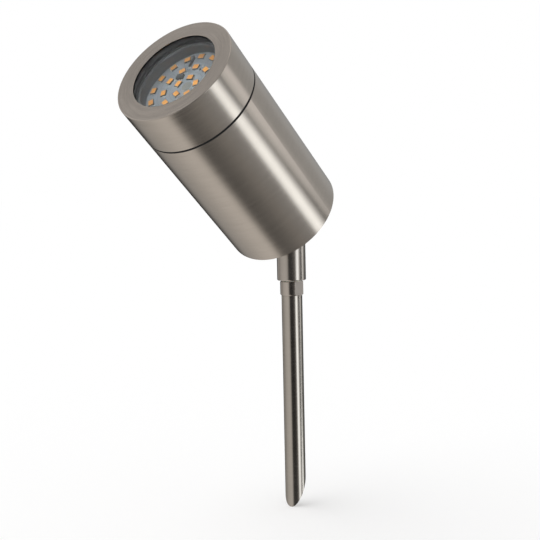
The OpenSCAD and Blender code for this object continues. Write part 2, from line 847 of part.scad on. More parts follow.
module earth_lead() {
    start = [0, lead_in - block_w / 2, face_z - barrel_depth];
    finish = [earth_x + tag_r + crimp_l / 2, earth_y, face_z - cap_inside + crimp_r];
    leave = start - [0, lead_in + lead_reach, 0];
    arrive = finish + [lead_reach + lead_bow, 0, 0];
    color(lead_green) at_head()
        tube_along(curve(start, leave, arrive, finish), lead_d / 2, [1, -1, -1]);
}

module earth_tag() {
    color(brass) at_head() translate([earth_x, earth_y, face_z - cap_inside]) difference() {
        union() {
            cylinder(h = tag_t, r = tag_r);
            translate([tag_r - crimp_r, 0, crimp_r]) rotate([0, 90, 0])
                cylinder(h = crimp_l + crimp_r, r = crimp_r);
        }
        translate([0, 0, -over])
            cylinder(h = tag_t + 2 * over, r = earth_screw_d / 2 + press_gap);
        translate([-tag_r, -tag_r, tag_t]) cube([2 * tag_r - press_gap, 2 * tag_r, tag_r]);
        translate([tag_r, 0, crimp_r]) rotate([0, 90, 0])
            cylinder(h = crimp_l + crimp_r, r = lead_d / 2 + hole_gap);
    }
}

module earth_screw() {
    color(bright_steel) at_head() translate([earth_x, earth_y, 0]) at_depth(cap_inside - tag_t)
        slot_screw(earth_screw_d / 2, tag_t + screw_bite, earth_head_r, earth_head_h);
}

// Lamp

module lamp_housing() {
    outside = [for (p = housing_shares) [lamp_r * p[0], lamp_front + lamp_l * p[1]]];
    inside = [for (i = [len(housing_shares) - 1:-1:3]) let (p = housing_shares[i])
        [lamp_r * p[0] - lamp_wall, lamp_front + lamp_l * p[1]]];
    color(lamp_grey) at_head() turned(concat(
        outside,
        inside,
        [[cavity_r - board_ledge, board_back + board_ledge], [cavity_r - board_ledge, board_back],
         [cavity_r, board_back], [cavity_r, lamp_front]]
    ));
}

module lamp_base() {
    rim_r = lamp_r * housing_shares[len(housing_shares) - 1][0];
    plug_r = rim_r - lamp_wall - press_gap;
    color(ceramic_white) at_head() difference() {
        turned([
            [0, base_start - base_sink], [plug_r, base_start - base_sink],
            [plug_r, base_start], [rim_r, base_start], [base_d / 2, base_start + edge],
            [base_d / 2, wide_end], [base_tip_d / 2, wide_end + edge],
            [base_tip_d / 2, base_end], [0, base_end]
        ]);
        translate([-driver_size[0] / 2 - press_gap, -driver_size[1] / 2 - press_gap,
            face_z - base_start + press_gap])
            cube([driver_size[0] + 2 * press_gap, driver_size[1] + 2 * press_gap, base_sink + over]);
        for (x = [-pin_r, pin_r]) translate([x, 0, 0]) at_depth(base_end + over)
            cylinder(h = base_end - wide_end + over, r = pin_neck_d / 2 + press_gap);
    }
}

module lamp_pins() {
    color(bright_steel) at_head() for (x = [-pin_r, pin_r]) translate([x, 0, 0]) {
        at_depth(neck_end + pin_head_l / 2)
            cylinder(h = neck_end + pin_head_l / 2 - wide_end, r = pin_neck_d / 2);
        at_depth(pin_end) cylinder(h = pin_head_l, r = pin_head_d / 2);
    }
}

module lamp_cover() {
    outer = cavity_r - press_gap;
    front = lamp_front + cover_set;
    color(clear) at_head() turned([
        [0, front], [outer - cover_round, front],
        [outer - cover_bevel, front + cover_bevel], [outer, front + cover_round],
        [outer, board_front], [outer - cover_wall, board_front],
        [outer - cover_wall, front + cover_t], [0, front + cover_t]
    ]);
}

module led_board() {
    color(board_grey) at_head() at_depth(board_back)
        cylinder(h = board_t, r = cavity_r - press_gap);
}

// Puts children at every light, on the board's front, with x pointing outwards
module at_lights() {
    for (k = light_rings) for (i = [0:k * lights_inner - 1])
        rotate([0, 0, lights_turn + 360 * i / (k * lights_inner)])
        translate([lights_first_r + (k - 1) * lights_step, 0, face_z - board_front])
        children();
}

module led_packages() {
    color(ceramic_white) at_head() at_lights()
        translate([-light_w / 2, -light_l / 2, 0]) cube([light_w, light_l, light_h]);
}

module led_windows() {
    w = light_w - 2 * window_margin;
    l = light_l - 2 * window_margin;
    color(phosphor) at_head() at_lights()
        translate([-w / 2, -l / 2, light_h]) cube([w, l, window_t]);
}

module board_parts() {
    color(part_black) at_head() translate([0, 0, face_z - board_front]) {
        translate([cavity_r * chip_share[0] - chip_size[0] / 2,
            cavity_r * chip_share[1] - chip_size[1] / 2, 0]) cube(chip_size);
        translate([cavity_r * bar_share[0] - bar_size[0] / 2,
            cavity_r * bar_share[1] - bar_size[1] / 2, 0]) cube(bar_size);
        translate([cavity_r * dot_share[0], cavity_r * dot_share[1], 0])
            cylinder(h = dot_h, r = dot_d / 2);
    }
}

module driver_board() {
    color(board_green) at_head()
        translate([-driver_size[0] / 2, -driver_size[1] / 2, face_z - base_start + 2 * press_gap])
        cube(driver_size);
}

module driver_parts() {
    middle = face_z - base_start + driver_size[2] / 2;
    color(part_black) at_head() {
        translate([0, driver_size[1] / 2, middle]) rotate([-90, 0, 0])
            cylinder(h = coil_h, r = coil_d / 2);
        translate([0, -driver_size[1] / 2 - capacitor_d / 2, middle - capacitor_l / 2])
            cylinder(h = capacitor_l, r = capacitor_d / 2);
    }
}

spike_tube();
spike_stud();
swivel_washer();
swivel_fork();
pivot_bolt();
pivot_nut();
pivot_washers();
head_tongue();
tongue_seal();
tongue_washer();
tongue_nut();
rear_cap();
body_tube();
thread_collar();
groove_seal();
cable_gland();
gland_seal();
gland_cap();
gland_locknut();
holder_bracket();
bracket_screws();
lamp_holder();
holder_contacts();
holder_screws();
terminal_block();
terminal_barrels();
terminal_screws();
terminal_fixings();
live_lead();
neutral_lead();
earth_lead();
earth_tag();
earth_screw();
lamp_housing();
lamp_base();
lamp_pins();
lamp_cover();
led_board();
led_packages();
led_windows();
board_parts();
driver_board();
driver_parts();
front_glass();
glass_gasket();
front_ring();
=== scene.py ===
"""Looks of the garden spike spotlight, in metres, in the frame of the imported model."""
import math

import bmesh
import bpy
from mathutils import Matrix, Vector


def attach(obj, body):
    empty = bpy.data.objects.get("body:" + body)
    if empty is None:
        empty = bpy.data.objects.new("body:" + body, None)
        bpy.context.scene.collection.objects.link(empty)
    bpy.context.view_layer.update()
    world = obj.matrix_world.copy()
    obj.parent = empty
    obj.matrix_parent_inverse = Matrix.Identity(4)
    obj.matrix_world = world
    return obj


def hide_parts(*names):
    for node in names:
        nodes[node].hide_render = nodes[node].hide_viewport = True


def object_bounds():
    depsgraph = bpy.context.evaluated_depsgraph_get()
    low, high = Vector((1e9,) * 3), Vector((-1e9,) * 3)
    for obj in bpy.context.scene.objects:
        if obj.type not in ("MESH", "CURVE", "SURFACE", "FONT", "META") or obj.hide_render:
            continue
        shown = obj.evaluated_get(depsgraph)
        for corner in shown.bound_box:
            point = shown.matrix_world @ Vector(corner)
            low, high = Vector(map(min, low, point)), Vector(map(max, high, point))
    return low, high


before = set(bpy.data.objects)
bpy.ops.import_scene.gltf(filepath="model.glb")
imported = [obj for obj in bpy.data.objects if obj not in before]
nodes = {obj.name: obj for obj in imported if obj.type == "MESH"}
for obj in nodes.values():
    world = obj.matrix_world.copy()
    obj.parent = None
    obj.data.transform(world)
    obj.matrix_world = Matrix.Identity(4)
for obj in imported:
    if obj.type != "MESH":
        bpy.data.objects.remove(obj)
cad_box = [list(c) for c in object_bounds()]
scene = bpy.context.scene

# ---------------------------------------------------------------- frame of the head
MM = 0.001
HEAD_RISE = 38.4  # how far the head looks up, in degrees
TURN = math.radians(90 - HEAD_RISE)
PIVOT = Vector((0, 0, 0.0371))  # the tilt bolt
HEAD = Matrix.Translation(PIVOT) @ Matrix.Rotation(TURN, 4, "X")
AIM = Vector((0, -math.sin(TURN), math.cos(TURN)))  # the head's own z
HEAD_Y = (0, math.cos(TURN), math.sin(TURN))
FACE = 0.1176  # the ring's front face, out from the bolt


# ---------------------------------------------------------------- node helpers
class Nodes:
    """A short way to write shader nodes."""

    def __init__(self, tree):
        self.tree = tree
        tree.nodes.clear()

    def add(self, kind, **values):
        node = self.tree.nodes.new(kind)
        for key, value in values.items():
            setattr(node, key, value)
        return node

    def put(self, socket, value):
        if isinstance(value, bpy.types.NodeSocket):
            self.tree.links.new(value, socket)
        elif value is not None:
            socket.default_value = value

    def math(self, operation, a, b=None, c=None, clamp=False):
        node = self.add("ShaderNodeMath", operation=operation, use_clamp=clamp)
        for socket, value in zip(node.inputs, (a, b, c)):
            self.put(socket, value)
        return node.outputs[0]

    def vector(self, operation, a, b=None, scale=None):
        node = self.add("ShaderNodeVectorMath", operation=operation)
        self.put(node.inputs[0], a)
        self.put(node.inputs[1], b)
        if scale is not None:
            self.put(node.inputs["Scale"], scale)
        return node.outputs["Value"] if operation in ("DOT_PRODUCT", "LENGTH") else node.outputs[0]

    def ramp(self, value, low, high, out_low=0.0, out_high=1.0, smooth=True):
        node = self.add("ShaderNodeMapRange", interpolation_type="SMOOTHSTEP" if smooth else "LINEAR")
        node.clamp = True
        for socket, v in zip(node.inputs, (value, low, high, out_low, out_high)):
            self.put(socket, v)
        return node.outputs[0]

    def mix(self, factor, a, b):
        node = self.add("ShaderNodeMix", data_type="RGBA")
        self.put(node.inputs["Factor"], factor)
        self.put(node.inputs["A"], a)
        self.put(node.inputs["B"], b)
        return node.outputs["Result"]

    def mix_value(self, factor, a, b):
        node = self.add("ShaderNodeMix", data_type="FLOAT")
        self.put(node.inputs["Factor"], factor)
        self.put(node.inputs["A"], a)
        self.put(node.inputs["B"], b)
        return node.outputs["Result"]

    def noise(self, vector, scale, detail=3.0, rough=0.5):
        node = self.add("ShaderNodeTexNoise", noise_dimensions="3D")
        self.put(node.inputs["Vector"], vector)
        node.inputs["Scale"].default_value = scale
        node.inputs["Detail"].default_value = detail
        node.inputs["Roughness"].default_value = rough
        return node.outputs["Fac"]

    def bump(self, height, strength, distance):
        node = self.add("ShaderNodeBump")
        self.put(node.inputs["Height"], height)
        node.inputs["Strength"].default_value = strength
        node.inputs["Distance"].default_value = distance
        return node.outputs[0]


def material(name):
    mat = bpy.data.materials.new(name)
    mat.use_nodes = True
    tree = Nodes(mat.node_tree)
    bsdf = tree.add("ShaderNodeBsdfPrincipled")
    out = tree.add("ShaderNodeOutputMaterial")
    tree.tree.links.new(bsdf.outputs[0], out.inputs["Surface"])
    return mat, tree, bsdf


def shade(color, factor):
    return tuple(min(c * factor, 1.0) for c in color) + (1.0,)


MILLED_ROUGH = 0.45


def steel(name, color, part, rough=0.21, aniso=0.55, fine=2600.0, sweep=2.2, grain=0.05, relief=0.000004,
          flats=None):
    """Stainless steel brushed round the part's own axis, on its walls and on its faces alike.

    flats is the direction that a milled pair of flats faces, in degrees about z."""
    mat, t, bsdf = material(name)
    source = t.add("ShaderNodeTexCoord")
    axis = tuple(AIM) if part == "head" else (0, 0, 1)
    base = tuple(PIVOT) if part == "head" else (0, 0, 0)
    from_base = t.vector("SUBTRACT", source.outputs["Object"], base)
    height = t.vector("DOT_PRODUCT", from_base, axis)
    outwards = t.vector("SUBTRACT", from_base, t.vector("SCALE", axis, scale=height))
    radius = t.vector("LENGTH", outwards)
    spoke = t.vector("NORMALIZE", outwards)
    # the noise runs slowly round the axis, and fast along it and outwards
    level = t.math("MULTIPLY", t.math("ADD", height, t.math("MULTIPLY", radius, 1.35)), fine)
    place = t.vector("ADD", t.vector("SCALE", spoke, scale=sweep), t.vector("SCALE", axis, scale=level))
    line = t.noise(place, 1.0, 3.0, 0.6)
    place_long = t.vector("ADD", t.vector("SCALE", spoke, scale=sweep * 0.35),
                          t.vector("SCALE", axis, scale=t.math("MULTIPLY", level, 0.21)))
    band = t.noise(place_long, 1.0, 2.0, 0.5)
    cloud = t.noise(source.outputs["Object"], 75.0, 2.0, 0.5)
    streak = t.mix_value(0.35, line, band)
    tone = t.math("ADD", t.math("MULTIPLY", t.math("SUBTRACT", streak, 0.5), grain * 4.0),
                  t.math("MULTIPLY", t.math("SUBTRACT", cloud, 0.5), grain * 1.6))
    depth = t.math("ADD", tone, 0.5, clamp=True)
    tint = t.mix(depth, shade(color, 0.6), shade(color, 1.4))
    gloss = t.ramp(streak, 0.25, 0.75, rough - 0.03, rough + 0.04, smooth=False)
    if flats is not None:
        turn = math.radians(flats)
        across = t.vector("DOT_PRODUCT", source.outputs["Normal"], (math.cos(turn), math.sin(turn), 0))
        milled = t.math("GREATER_THAN", t.math("ABSOLUTE", across), 0.995)
        tint = t.mix(milled, tint, t.mix(depth, shade(color, 0.55), shade(color, 1.2)))
        gloss = t.mix_value(milled, gloss, MILLED_ROUGH)
    t.put(bsdf.inputs["Base Color"], tint)
    bsdf.inputs["Metallic"].default_value = 1.0
    t.put(bsdf.inputs["Roughness"], gloss)
    bsdf.inputs["Anisotropic"].default_value = aniso
    along = t.vector("CROSS_PRODUCT", source.outputs["Normal"], t.vector("CROSS_PRODUCT", axis, spoke))
    to_world = t.add("ShaderNodeVectorTransform", vector_type="VECTOR", convert_from="OBJECT", convert_to="WORLD")
    t.put(to_world.inputs[0], along)
    t.put(bsdf.inputs["Tangent"], to_world.outputs[0])
    t.put(bsdf.inputs["Normal"], t.bump(streak, 0.3, relief))
    return mat


def metal(name, color, rough=0.22, grain=0.05, scale=1500.0):
    """A small plain metal piece, with a fine even surface."""
    mat, t, bsdf = material(name)
    source = t.add("ShaderNodeTexCoord")
    fine = t.noise(source.outputs["Object"], scale, 3.0, 0.6)
    cloud = t.noise(source.outputs["Object"], scale / 12.0, 2.0, 0.5)
    tone = t.math("ADD", t.math("MULTIPLY", fine, 0.5), t.math("MULTIPLY", cloud, 0.5))
    t.put(bsdf.inputs["Base Color"], t.mix(tone, shade(color, 1 - 2 * grain), shade(color, 1 + 2 * grain)))
    bsdf.inputs["Metallic"].default_value = 1.0
    t.put(bsdf.inputs["Roughness"], t.ramp(cloud, 0.3, 0.7, rough - 0.03, rough + 0.05, smooth=False))
    t.put(bsdf.inputs["Normal"], t.bump(fine, 0.2, 0.000008))
    return mat


def moulded(name, color, rough=0.45, relief=0.00002, scale=2500.0, speck=0.06, **extra):
    """Plastic, rubber or enamel with a fine moulded surface."""
    mat, t, bsdf = material(name)
    source = t.add("ShaderNodeTexCoord")
    grain = t.noise(source.outputs["Object"], scale, 3.0, 0.55)
    cloud = t.noise(source.outputs["Object"], scale / 22.0, 2.0, 0.5)
    blend = t.math("ADD", t.math("MULTIPLY", grain, 0.6), t.math("MULTIPLY", cloud, 0.4))
    t.put(bsdf.inputs["Base Color"], t.mix(blend, shade(color, 1 - speck), shade(color, 1 + speck)))
    t.put(bsdf.inputs["Roughness"], t.ramp(cloud, 0.3, 0.7, rough - 0.04, rough + 0.05, smooth=False))
    t.put(bsdf.inputs["Normal"], t.bump(grain, 0.25, relief))
    for key, value in extra.items():
        bsdf.inputs[key.replace("_", " ")].default_value = value
    return mat


def clear(name, color, rough, ior):
    """Clear glass or plastic, with the faintest unevenness in its gloss."""
    mat, t, bsdf = material(name)
    source = t.add("ShaderNodeTexCoord")
    smear = t.noise(source.outputs["Object"], 90.0, 3.0, 0.5)
    bsdf.inputs["Base Color"].default_value = tuple(color) + (1.0,)
    bsdf.inputs["Transmission Weight"].default_value = 1.0
    bsdf.inputs["IOR"].default_value = ior
    t.put(bsdf.inputs["Roughness"], t.ramp(smear, 0.35, 0.75, rough, rough + 0.003, smooth=False))
    return mat


# ---------------------------------------------------------------- materials
STEEL = (0.500, 0.445, 0.395)
steel_head = steel("steel_head", STEEL, "head", fine=2000.0, sweep=3.0, grain=0.075, relief=0.000006)
steel_fork = steel("steel_fork", (0.50, 0.455, 0.415), "z", rough=0.17, fine=3400.0, sweep=1.6)
steel_spike = steel("steel_spike", (0.50, 0.455, 0.41), "z", rough=0.17, fine=3000.0, sweep=1.2, grain=0.06)
steel_turned = steel("steel_turned", (0.53, 0.475, 0.43), "z", rough=0.15, fine=4200.0, sweep=1.2, grain=0.04,
                     flats=-5.0)
steel_tongue = metal("steel_tongue", (0.53, 0.49, 0.45), 0.24)
fixing_steel = metal("fixing_steel", (0.60, 0.59, 0.57), 0.22)
fixing_bolt = metal("fixing_bolt", (0.58, 0.56, 0.54), 0.2)
collar_alloy = metal("collar_alloy", (0.62, 0.62, 0.62), 0.26)
brass = metal("brass", (0.72, 0.52, 0.22), 0.2)
plating = metal("plating", (0.72, 0.71, 0.69), 0.14, 0.03)
solder = metal("solder", (0.70, 0.70, 0.68), 0.3, 0.08, 4000.0)
rubber = moulded("rubber", (0.010, 0.010, 0.010), 0.62, Specular_IOR_Level=0.2)
gasket_rubber = moulded("gasket_rubber", (0.075, 0.075, 0.077), 0.6)
black_nylon = moulded("black_nylon", (0.022, 0.022, 0.023), 0.42, relief=0.00004, scale=1800.0)
pale_nylon = moulded("pale_nylon", (0.66, 0.64, 0.56), 0.4, Subsurface_Weight=0.15, Subsurface_Scale=0.002)
enamel = moulded("enamel", (0.78, 0.76, 0.70), 0.22)
shell_grey = moulded("shell_grey", (0.030, 0.031, 0.032), 0.38)
wall_grey = moulded("wall_grey", (0.115, 0.119, 0.122), 0.09, relief=0.000002, speck=0.02)
base_white = moulded("base_white", (0.74, 0.74, 0.71), 0.35)
dark_part = moulded("dark_part", (0.030, 0.036, 0.034), 0.35, scale=5000.0)
board_spot = moulded("board_spot", (0.235, 0.24, 0.215), 0.5, scale=4000.0)
sleeve_brown = moulded("sleeve_brown", (0.16, 0.06, 0.025), 0.5)
sleeve_blue = moulded("sleeve_blue", (0.02, 0.10, 0.36), 0.5)
driver_green = moulded("driver_green", (0.02, 0.13, 0.05), 0.3, speck=0.2)
glass = clear("glass", (0.985, 1.0, 0.995), 0.0, 1.5)
cover_clear = clear("cover_clear", (0.98, 0.99, 1.0), 0.0, 1.47)


def head_place(t):
    """Across, up and out along the head's own axis, and the distance from that axis."""
    source = t.add("ShaderNodeTexCoord")
    from_pivot = t.vector("SUBTRACT", source.outputs["Object"], tuple(PIVOT))
    x = t.vector("DOT_PRODUCT", from_pivot, (1, 0, 0))
    y = t.vector("DOT_PRODUCT", from_pivot, HEAD_Y)
    radius = t.math("SQRT", t.math("ADD", t.math("MULTIPLY", x, x), t.math("MULTIPLY", y, y)))
    return source, x, y, radius


def board_coat():
    """Pale solder resist over copper: thin gaps between the copper fields show a little darker."""
    mat, t, bsdf = material("board_coat")
    source, x, y, radius = head_place(t)
    grain = t.noise(source.outputs["Object"], 3500.0, 3.0, 0.55)
    cloud = t.noise(source.outputs["Object"], 160.0, 2.0, 0.5)
    gap = 0.0
    # a gap round each ring of lights, and a gap from ring to ring beside each light
    edges = (0.0, 0.0088, 0.0153, 0.0214)
    for ring in edges[1:]:
        off = t.math("ABSOLUTE", t.math("SUBTRACT", radius, ring))
        gap = t.math("MAXIMUM", t.ramp(off, 0.00012, 0.00028, 1.0, 0.0), gap)
    turn = t.math("ARCTAN2", y, x)
    for count, low, high, shift in zip((5, 10, 15), edges, edges[1:], (0.35, 0.1, 0.25)):
        wave = t.math("ABSOLUTE", t.math("SINE", t.math("ADD", t.math("MULTIPLY", turn, count / 2.0), shift)))
        near = t.math("MULTIPLY", wave, t.math("MULTIPLY", radius, 2.0 / count))
        inside = t.math("MULTIPLY", t.math("GREATER_THAN", radius, low), t.math("LESS_THAN", radius, high))
        gap = t.math("MAXIMUM", t.math("MULTIPLY", t.ramp(near, 0.00010, 0.00024, 1.0, 0.0), inside), gap)
    pale = t.mix(t.mix_value(0.5, grain, cloud), (0.255, 0.285, 0.315, 1), (0.30, 0.335, 0.37, 1))
    t.put(bsdf.inputs["Base Color"], t.mix(t.math("MULTIPLY", gap, 0.55), pale, (0.19, 0.212, 0.23, 1)))
    t.put(bsdf.inputs["Roughness"], t.ramp(grain, 0.3, 0.7, 0.34, 0.42, smooth=False))
    t.put(bsdf.inputs["Normal"], t.bump(gap, 0.4, -0.00003))
    return mat


def resin():
    """Orange resin, its tone varying a little at random."""
    mat, t, bsdf = material("light_resin")
    source = t.add("ShaderNodeTexCoord")
    grain = t.noise(source.outputs["Object"], 2600.0, 3.0, 0.6)
    t.put(bsdf.inputs["Base Color"], t.mix(grain, (0.86, 0.31, 0.018, 1), (1.0, 0.43, 0.035, 1)))
    t.put(bsdf.inputs["Roughness"], t.ramp(grain, 0.3, 0.7, 0.30, 0.42, smooth=False))
    t.put(bsdf.inputs["Normal"], t.bump(grain, 0.2, 0.00003))
    return mat


def package():
    """Housing of a light: pale on its front rim, with painted shade making its sides dark grey."""
    mat, t, bsdf = material("light_package_painted_side_shade")
    source = t.add("ShaderNodeTexCoord")
    front = t.ramp(t.vector("DOT_PRODUCT", source.outputs["Normal"], tuple(AIM)), 0.55, 0.9)
    grain = t.noise(source.outputs["Object"], 5000.0, 3.0, 0.55)
    pale = t.mix(grain, (0.31, 0.305, 0.29, 1), (0.38, 0.375, 0.355, 1))
    # painted shade: faces that do not look out along the lamp's axis get a dark grey instead of the housing's pale
    # colour
    t.put(bsdf.inputs["Base Color"], t.mix(front, (0.045, 0.050, 0.053, 1), pale))
    t.put(bsdf.inputs["Roughness"], t.ramp(grain, 0.3, 0.7, 0.38, 0.5, smooth=False))
    t.put(bsdf.inputs["Normal"], t.bump(grain, 0.2, 0.00001))
    return mat


def two_colour_sleeve():
    """Green sleeve with a yellow stripe wound along it."""
    mat, t, bsdf = material("sleeve_green")
    source = t.add("ShaderNodeTexCoord")
    wave = t.add("ShaderNodeTexWave", wave_type="BANDS", bands_direction="DIAGONAL")
    t.put(wave.inputs["Vector"], source.outputs["Object"])
    wave.inputs["Scale"].default_value = 55.0
    stripe = t.ramp(wave.outputs["Fac"], 0.45, 0.55)
    t.put(bsdf.inputs["Base Color"], t.mix(stripe, (0.03, 0.22, 0.04, 1), (0.62, 0.55, 0.04, 1)))
    grain = t.noise(source.outputs["Object"], 2500.0, 2.0, 0.5)
    t.put(bsdf.inputs["Roughness"], t.ramp(grain, 0.3, 0.7, 0.44, 0.54, smooth=False))
    return mat


board_look = board_coat()
resin_look = resin()
side_shaded_package_look = package()
looks = {
    "spike_tube": steel_spike, "spike_stud": steel_turned, "swivel_washer": pale_nylon, "swivel_fork": steel_fork,
    "pivot_bolt": fixing_bolt, "pivot_nut": fixing_bolt, "pivot_washers": pale_nylon,
    "head_tongue": steel_tongue, "tongue_seal": rubber, "tongue_washer": fixing_steel, "tongue_nut": fixing_steel,
    "rear_cap": steel_head, "body_tube": steel_head, "thread_collar": collar_alloy, "groove_seal": rubber,
    "cable_gland": black_nylon, "gland_seal": rubber, "gland_cap": black_nylon, "gland_locknut": black_nylon,
    "holder_bracket": fixing_steel, "bracket_screws": fixing_steel, "lamp_holder": enamel, "holder_contacts": brass,
    "holder_screws": fixing_steel, "terminal_block": pale_nylon, "terminal_barrels": brass,
    "terminal_screws": fixing_steel, "terminal_fixings": fixing_steel, "live_lead": sleeve_brown,
    "neutral_lead": sleeve_blue, "earth_lead": two_colour_sleeve(), "earth_tag": brass, "earth_screw": fixing_steel,
    "lamp_housing": shell_grey, "lamp_base": base_white, "lamp_pins": plating, "lamp_cover": cover_clear,
    "led_board": board_look, "led_packages": side_shaded_package_look, "led_windows": resin_look, "board_parts": dark_part,
    "driver_board": driver_green, "driver_parts": dark_part, "front_glass": glass, "glass_gasket": gasket_rubber,
    "front_ring": steel_head,
}
for name, look in looks.items():
    nodes[name].data.materials.clear()
    nodes[name].data.materials.append(look)
    for face in nodes[name].data.polygons:
        face.material_index = 0


# ---------------------------------------------------------------- mesh helpers
def piece(name, shape, body, look, stands_for=(), at=HEAD, crease=38.0):
    """A new piece from a shape's points and faces, in metres in the head's own frame."""
    verts, faces = shape
    mesh = bpy.data.meshes.new(name)
    mesh.from_pydata(verts, [], faces)
    mesh.transform(at)
    work = bmesh.new()
    work.from_mesh(mesh)
    bmesh.ops.remove_doubles(work, verts=work.verts, dist=0.000001)
    bmesh.ops.recalc_face_normals(work, faces=work.faces)
    limit = math.radians(crease)
    for edge in work.edges:
        edge.smooth = len(edge.link_faces) == 2 and edge.calc_face_angle(0.0) < limit
    for face in work.faces:
        face.smooth = True
    work.to_mesh(mesh)
    work.free()
    mesh.update()
    obj = bpy.data.objects.new(name, mesh)
    scene.collection.objects.link(obj)
    mesh.materials.append(look)
    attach(obj, body)
    if stands_for:
        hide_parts(*stands_for)
    return obj


def lathe(profile, segments=144, closed=True, shift=None):
    """A solid of revolution from points of radius and height; shift moves a point's radius."""
    verts, faces = [], []
    count = len(profile)
    for i, (r, z) in enumerate(profile):
        for k in range(segments):
            a = math.tau * k / segments
            rr = shift(r, z, a) if shift else r
            verts.append((rr * math.cos(a), rr * math.sin(a), z))
    for i in range(count if closed else count - 1):
        j = (i + 1) % count
        if profile[i][0] < 1e-9 and profile[j][0] < 1e-9:
            continue
        for k in range(segments):
            n = (k + 1) % segments
            faces.append((i * segments + k, j * segments + k, j * segments + n, i * segments + n))
    return verts, faces


def rounded(points, rounds, steps=4, hold=0.05):
    """Rounds the corners of an outline; rounds gives one radius per point. A point just past
    each round keeps the flat beside it flat in its shading."""
    out = []
    count = len(points)
    for i, (p, radius) in enumerate(zip(points, rounds)):
        p = Vector(p)
        if radius <= 0:
            out.append(tuple(p))
            continue
        to_last = (Vector(points[i - 1]) - p).normalized()
        to_next = (Vector(points[(i + 1) % count]) - p).normalized()
        half = to_last.angle(to_next) / 2
        reach = radius / math.tan(half)
        a, b = p + to_last * reach, p + to_next * reach
        center = p + (to_last + to_next).normalized() * (radius / math.sin(half))
        if hold:
            out.append(tuple(a + to_last * hold))
        for s in range(steps + 1):
            w = a.lerp(b, s / steps)
            out.append(tuple(center + (w - center).normalized() * radius))
        if hold:
            out.append(tuple(b + to_next * hold))
    return out


def rows(r, start, end, step):
    """Points down a straight wall, close enough together to carry a thread."""
    count = max(2, int(abs(end - start) / step))
    return [(r, start + (end - start) * i / count) for i in range(count + 1)]


def deep(points):
    """From radius and depth in millimetres to radius and height in metres in the head's frame."""
    return [(r * MM, FACE - d * MM) for r, d in points]


def thread(wall, high, low, depth, pitch, outwards):
    """Moves a wall at one radius into a thread's groove that winds round it and fades at both ends."""
    def shift(r, z, a):
        if abs(r - wall) > 1e-6 or not low < z < high:
            return r
        fade = min(z - low, high - z) / (1.2 * pitch)
        turn = (z / pitch - a / math.tau) % 1.0
        groove = max(0.0, 1.0 - abs(turn - 0.5) / 0.42)
        return r + (depth if outwards else -depth) * groove * min(1.0, max(0.0, fade))
    return shift


def plate(levels, steps=4):
    """A stack of rounded rectangles: half width, half length, corner, height in millimetres."""
    verts, faces = [], []
    for hx, hy, corner, z in levels:
        for sx, sy, a0 in ((1, 1, 0), (-1, 1, 90), (-1, -1, 180), (1, -1, 270)):
            for s in range(steps):
                a = math.radians(a0 + 90 * s / (steps - 1))
                verts.append(((sx * (hx - corner) + corner * math.cos(a)) * MM,
                              (sy * (hy - corner) + corner * math.sin(a)) * MM, z * MM))
    ring = 4 * steps
    for i in range(len(levels) - 1):
        for k in range(ring):
            n = (k + 1) % ring
            faces.append((i * ring + k, i * ring + n, (i + 1) * ring + n, (i + 1) * ring + k))
    faces.append(tuple(range(ring - 1, -1, -1)))
    faces.append(tuple((len(levels) - 1) * ring + k for k in range(ring)))
    return verts, faces


def spread(shape, places):
    """Copies of one shape, each turned about the axis and moved; places hold a matrix each."""
    verts, faces = [], []
    for place in places:
        base = len(verts)
        verts += [tuple(place @ Vector(v)) for v in shape[0]]
        faces += [tuple(base + i for i in f) for f in shape[1]]
    return verts, faces


def join(*shapes):
    verts, faces = [], []
    for shape in shapes:
        base = len(verts)
        verts += shape[0]
        faces += [tuple(base + i for i in f) for f in shape[1]]
    return verts, faces


# ---------------------------------------------------------------- front ring, collar and seals
# radii and depths behind the ring's face, in millimetres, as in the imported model
WINDOW_R, SEAT_R, THREAD_R, RING_R = 21.6, 26.6, 27.9, 30.0
LIP, GLAZING_END, RING_END = 0.6, 7.0, 21.5
COLLAR_BORE_R, COLLAR_THREAD_R, GRIP_R = 25.6, 27.85, 27.98
COLLAR_FRONT, TUBE_FRONT, COLLAR_END = 7.05, 22.2, 34.2
PITCH = 0.0015
THREAD_DEPTH = 0.00045
THREAD_STEP = 0.19


def threaded(profile, wall, end):
    """Puts close points down one wall of an outline, from its first point there to the depth end."""
    on_wall = [i for i, p in enumerate(profile) if abs(p[0] - wall) < 1e-6]
    start = profile[on_wall[0]][1]
    return profile[:on_wall[0]] + rows(wall, start, end, THREAD_STEP) + profile[on_wall[-1] + 1:]


ring = rounded([(WINDOW_R, 0.0), (RING_R, 0.0), (RING_R, RING_END), (THREAD_R, RING_END),
                (THREAD_R, GLAZING_END), (SEAT_R, GLAZING_END), (SEAT_R, LIP), (WINDOW_R, LIP)],
               [0.15, 0.35, 0.18, 0.3, 0.0, 0.2, 0.0, 0.05])
cut = thread(0.0279, FACE - 0.0076, FACE - 0.0210, THREAD_DEPTH, PITCH, True)
piece("bezel_ring", lathe(deep(threaded(ring, THREAD_R, GLAZING_END)), 180, shift=cut),
      "bezel", steel_head, ("front_ring",))

collar = rounded([(COLLAR_BORE_R, COLLAR_FRONT), (COLLAR_THREAD_R, COLLAR_FRONT), (COLLAR_THREAD_R, TUBE_FRONT),
                  (GRIP_R, TUBE_FRONT), (GRIP_R, COLLAR_END), (COLLAR_BORE_R, COLLAR_END)],
                 [0.25, 0.35, 0.0, 0.0, 0.4, 0.4])
cut = thread(0.02785, FACE - 0.0074, FACE - 0.0208, THREAD_DEPTH, PITCH, False)
piece("threaded_collar", lathe(deep(threaded(collar, COLLAR_THREAD_R, TUBE_FRONT)), 180, shift=cut),
      "head", collar_alloy, ("thread_collar",))

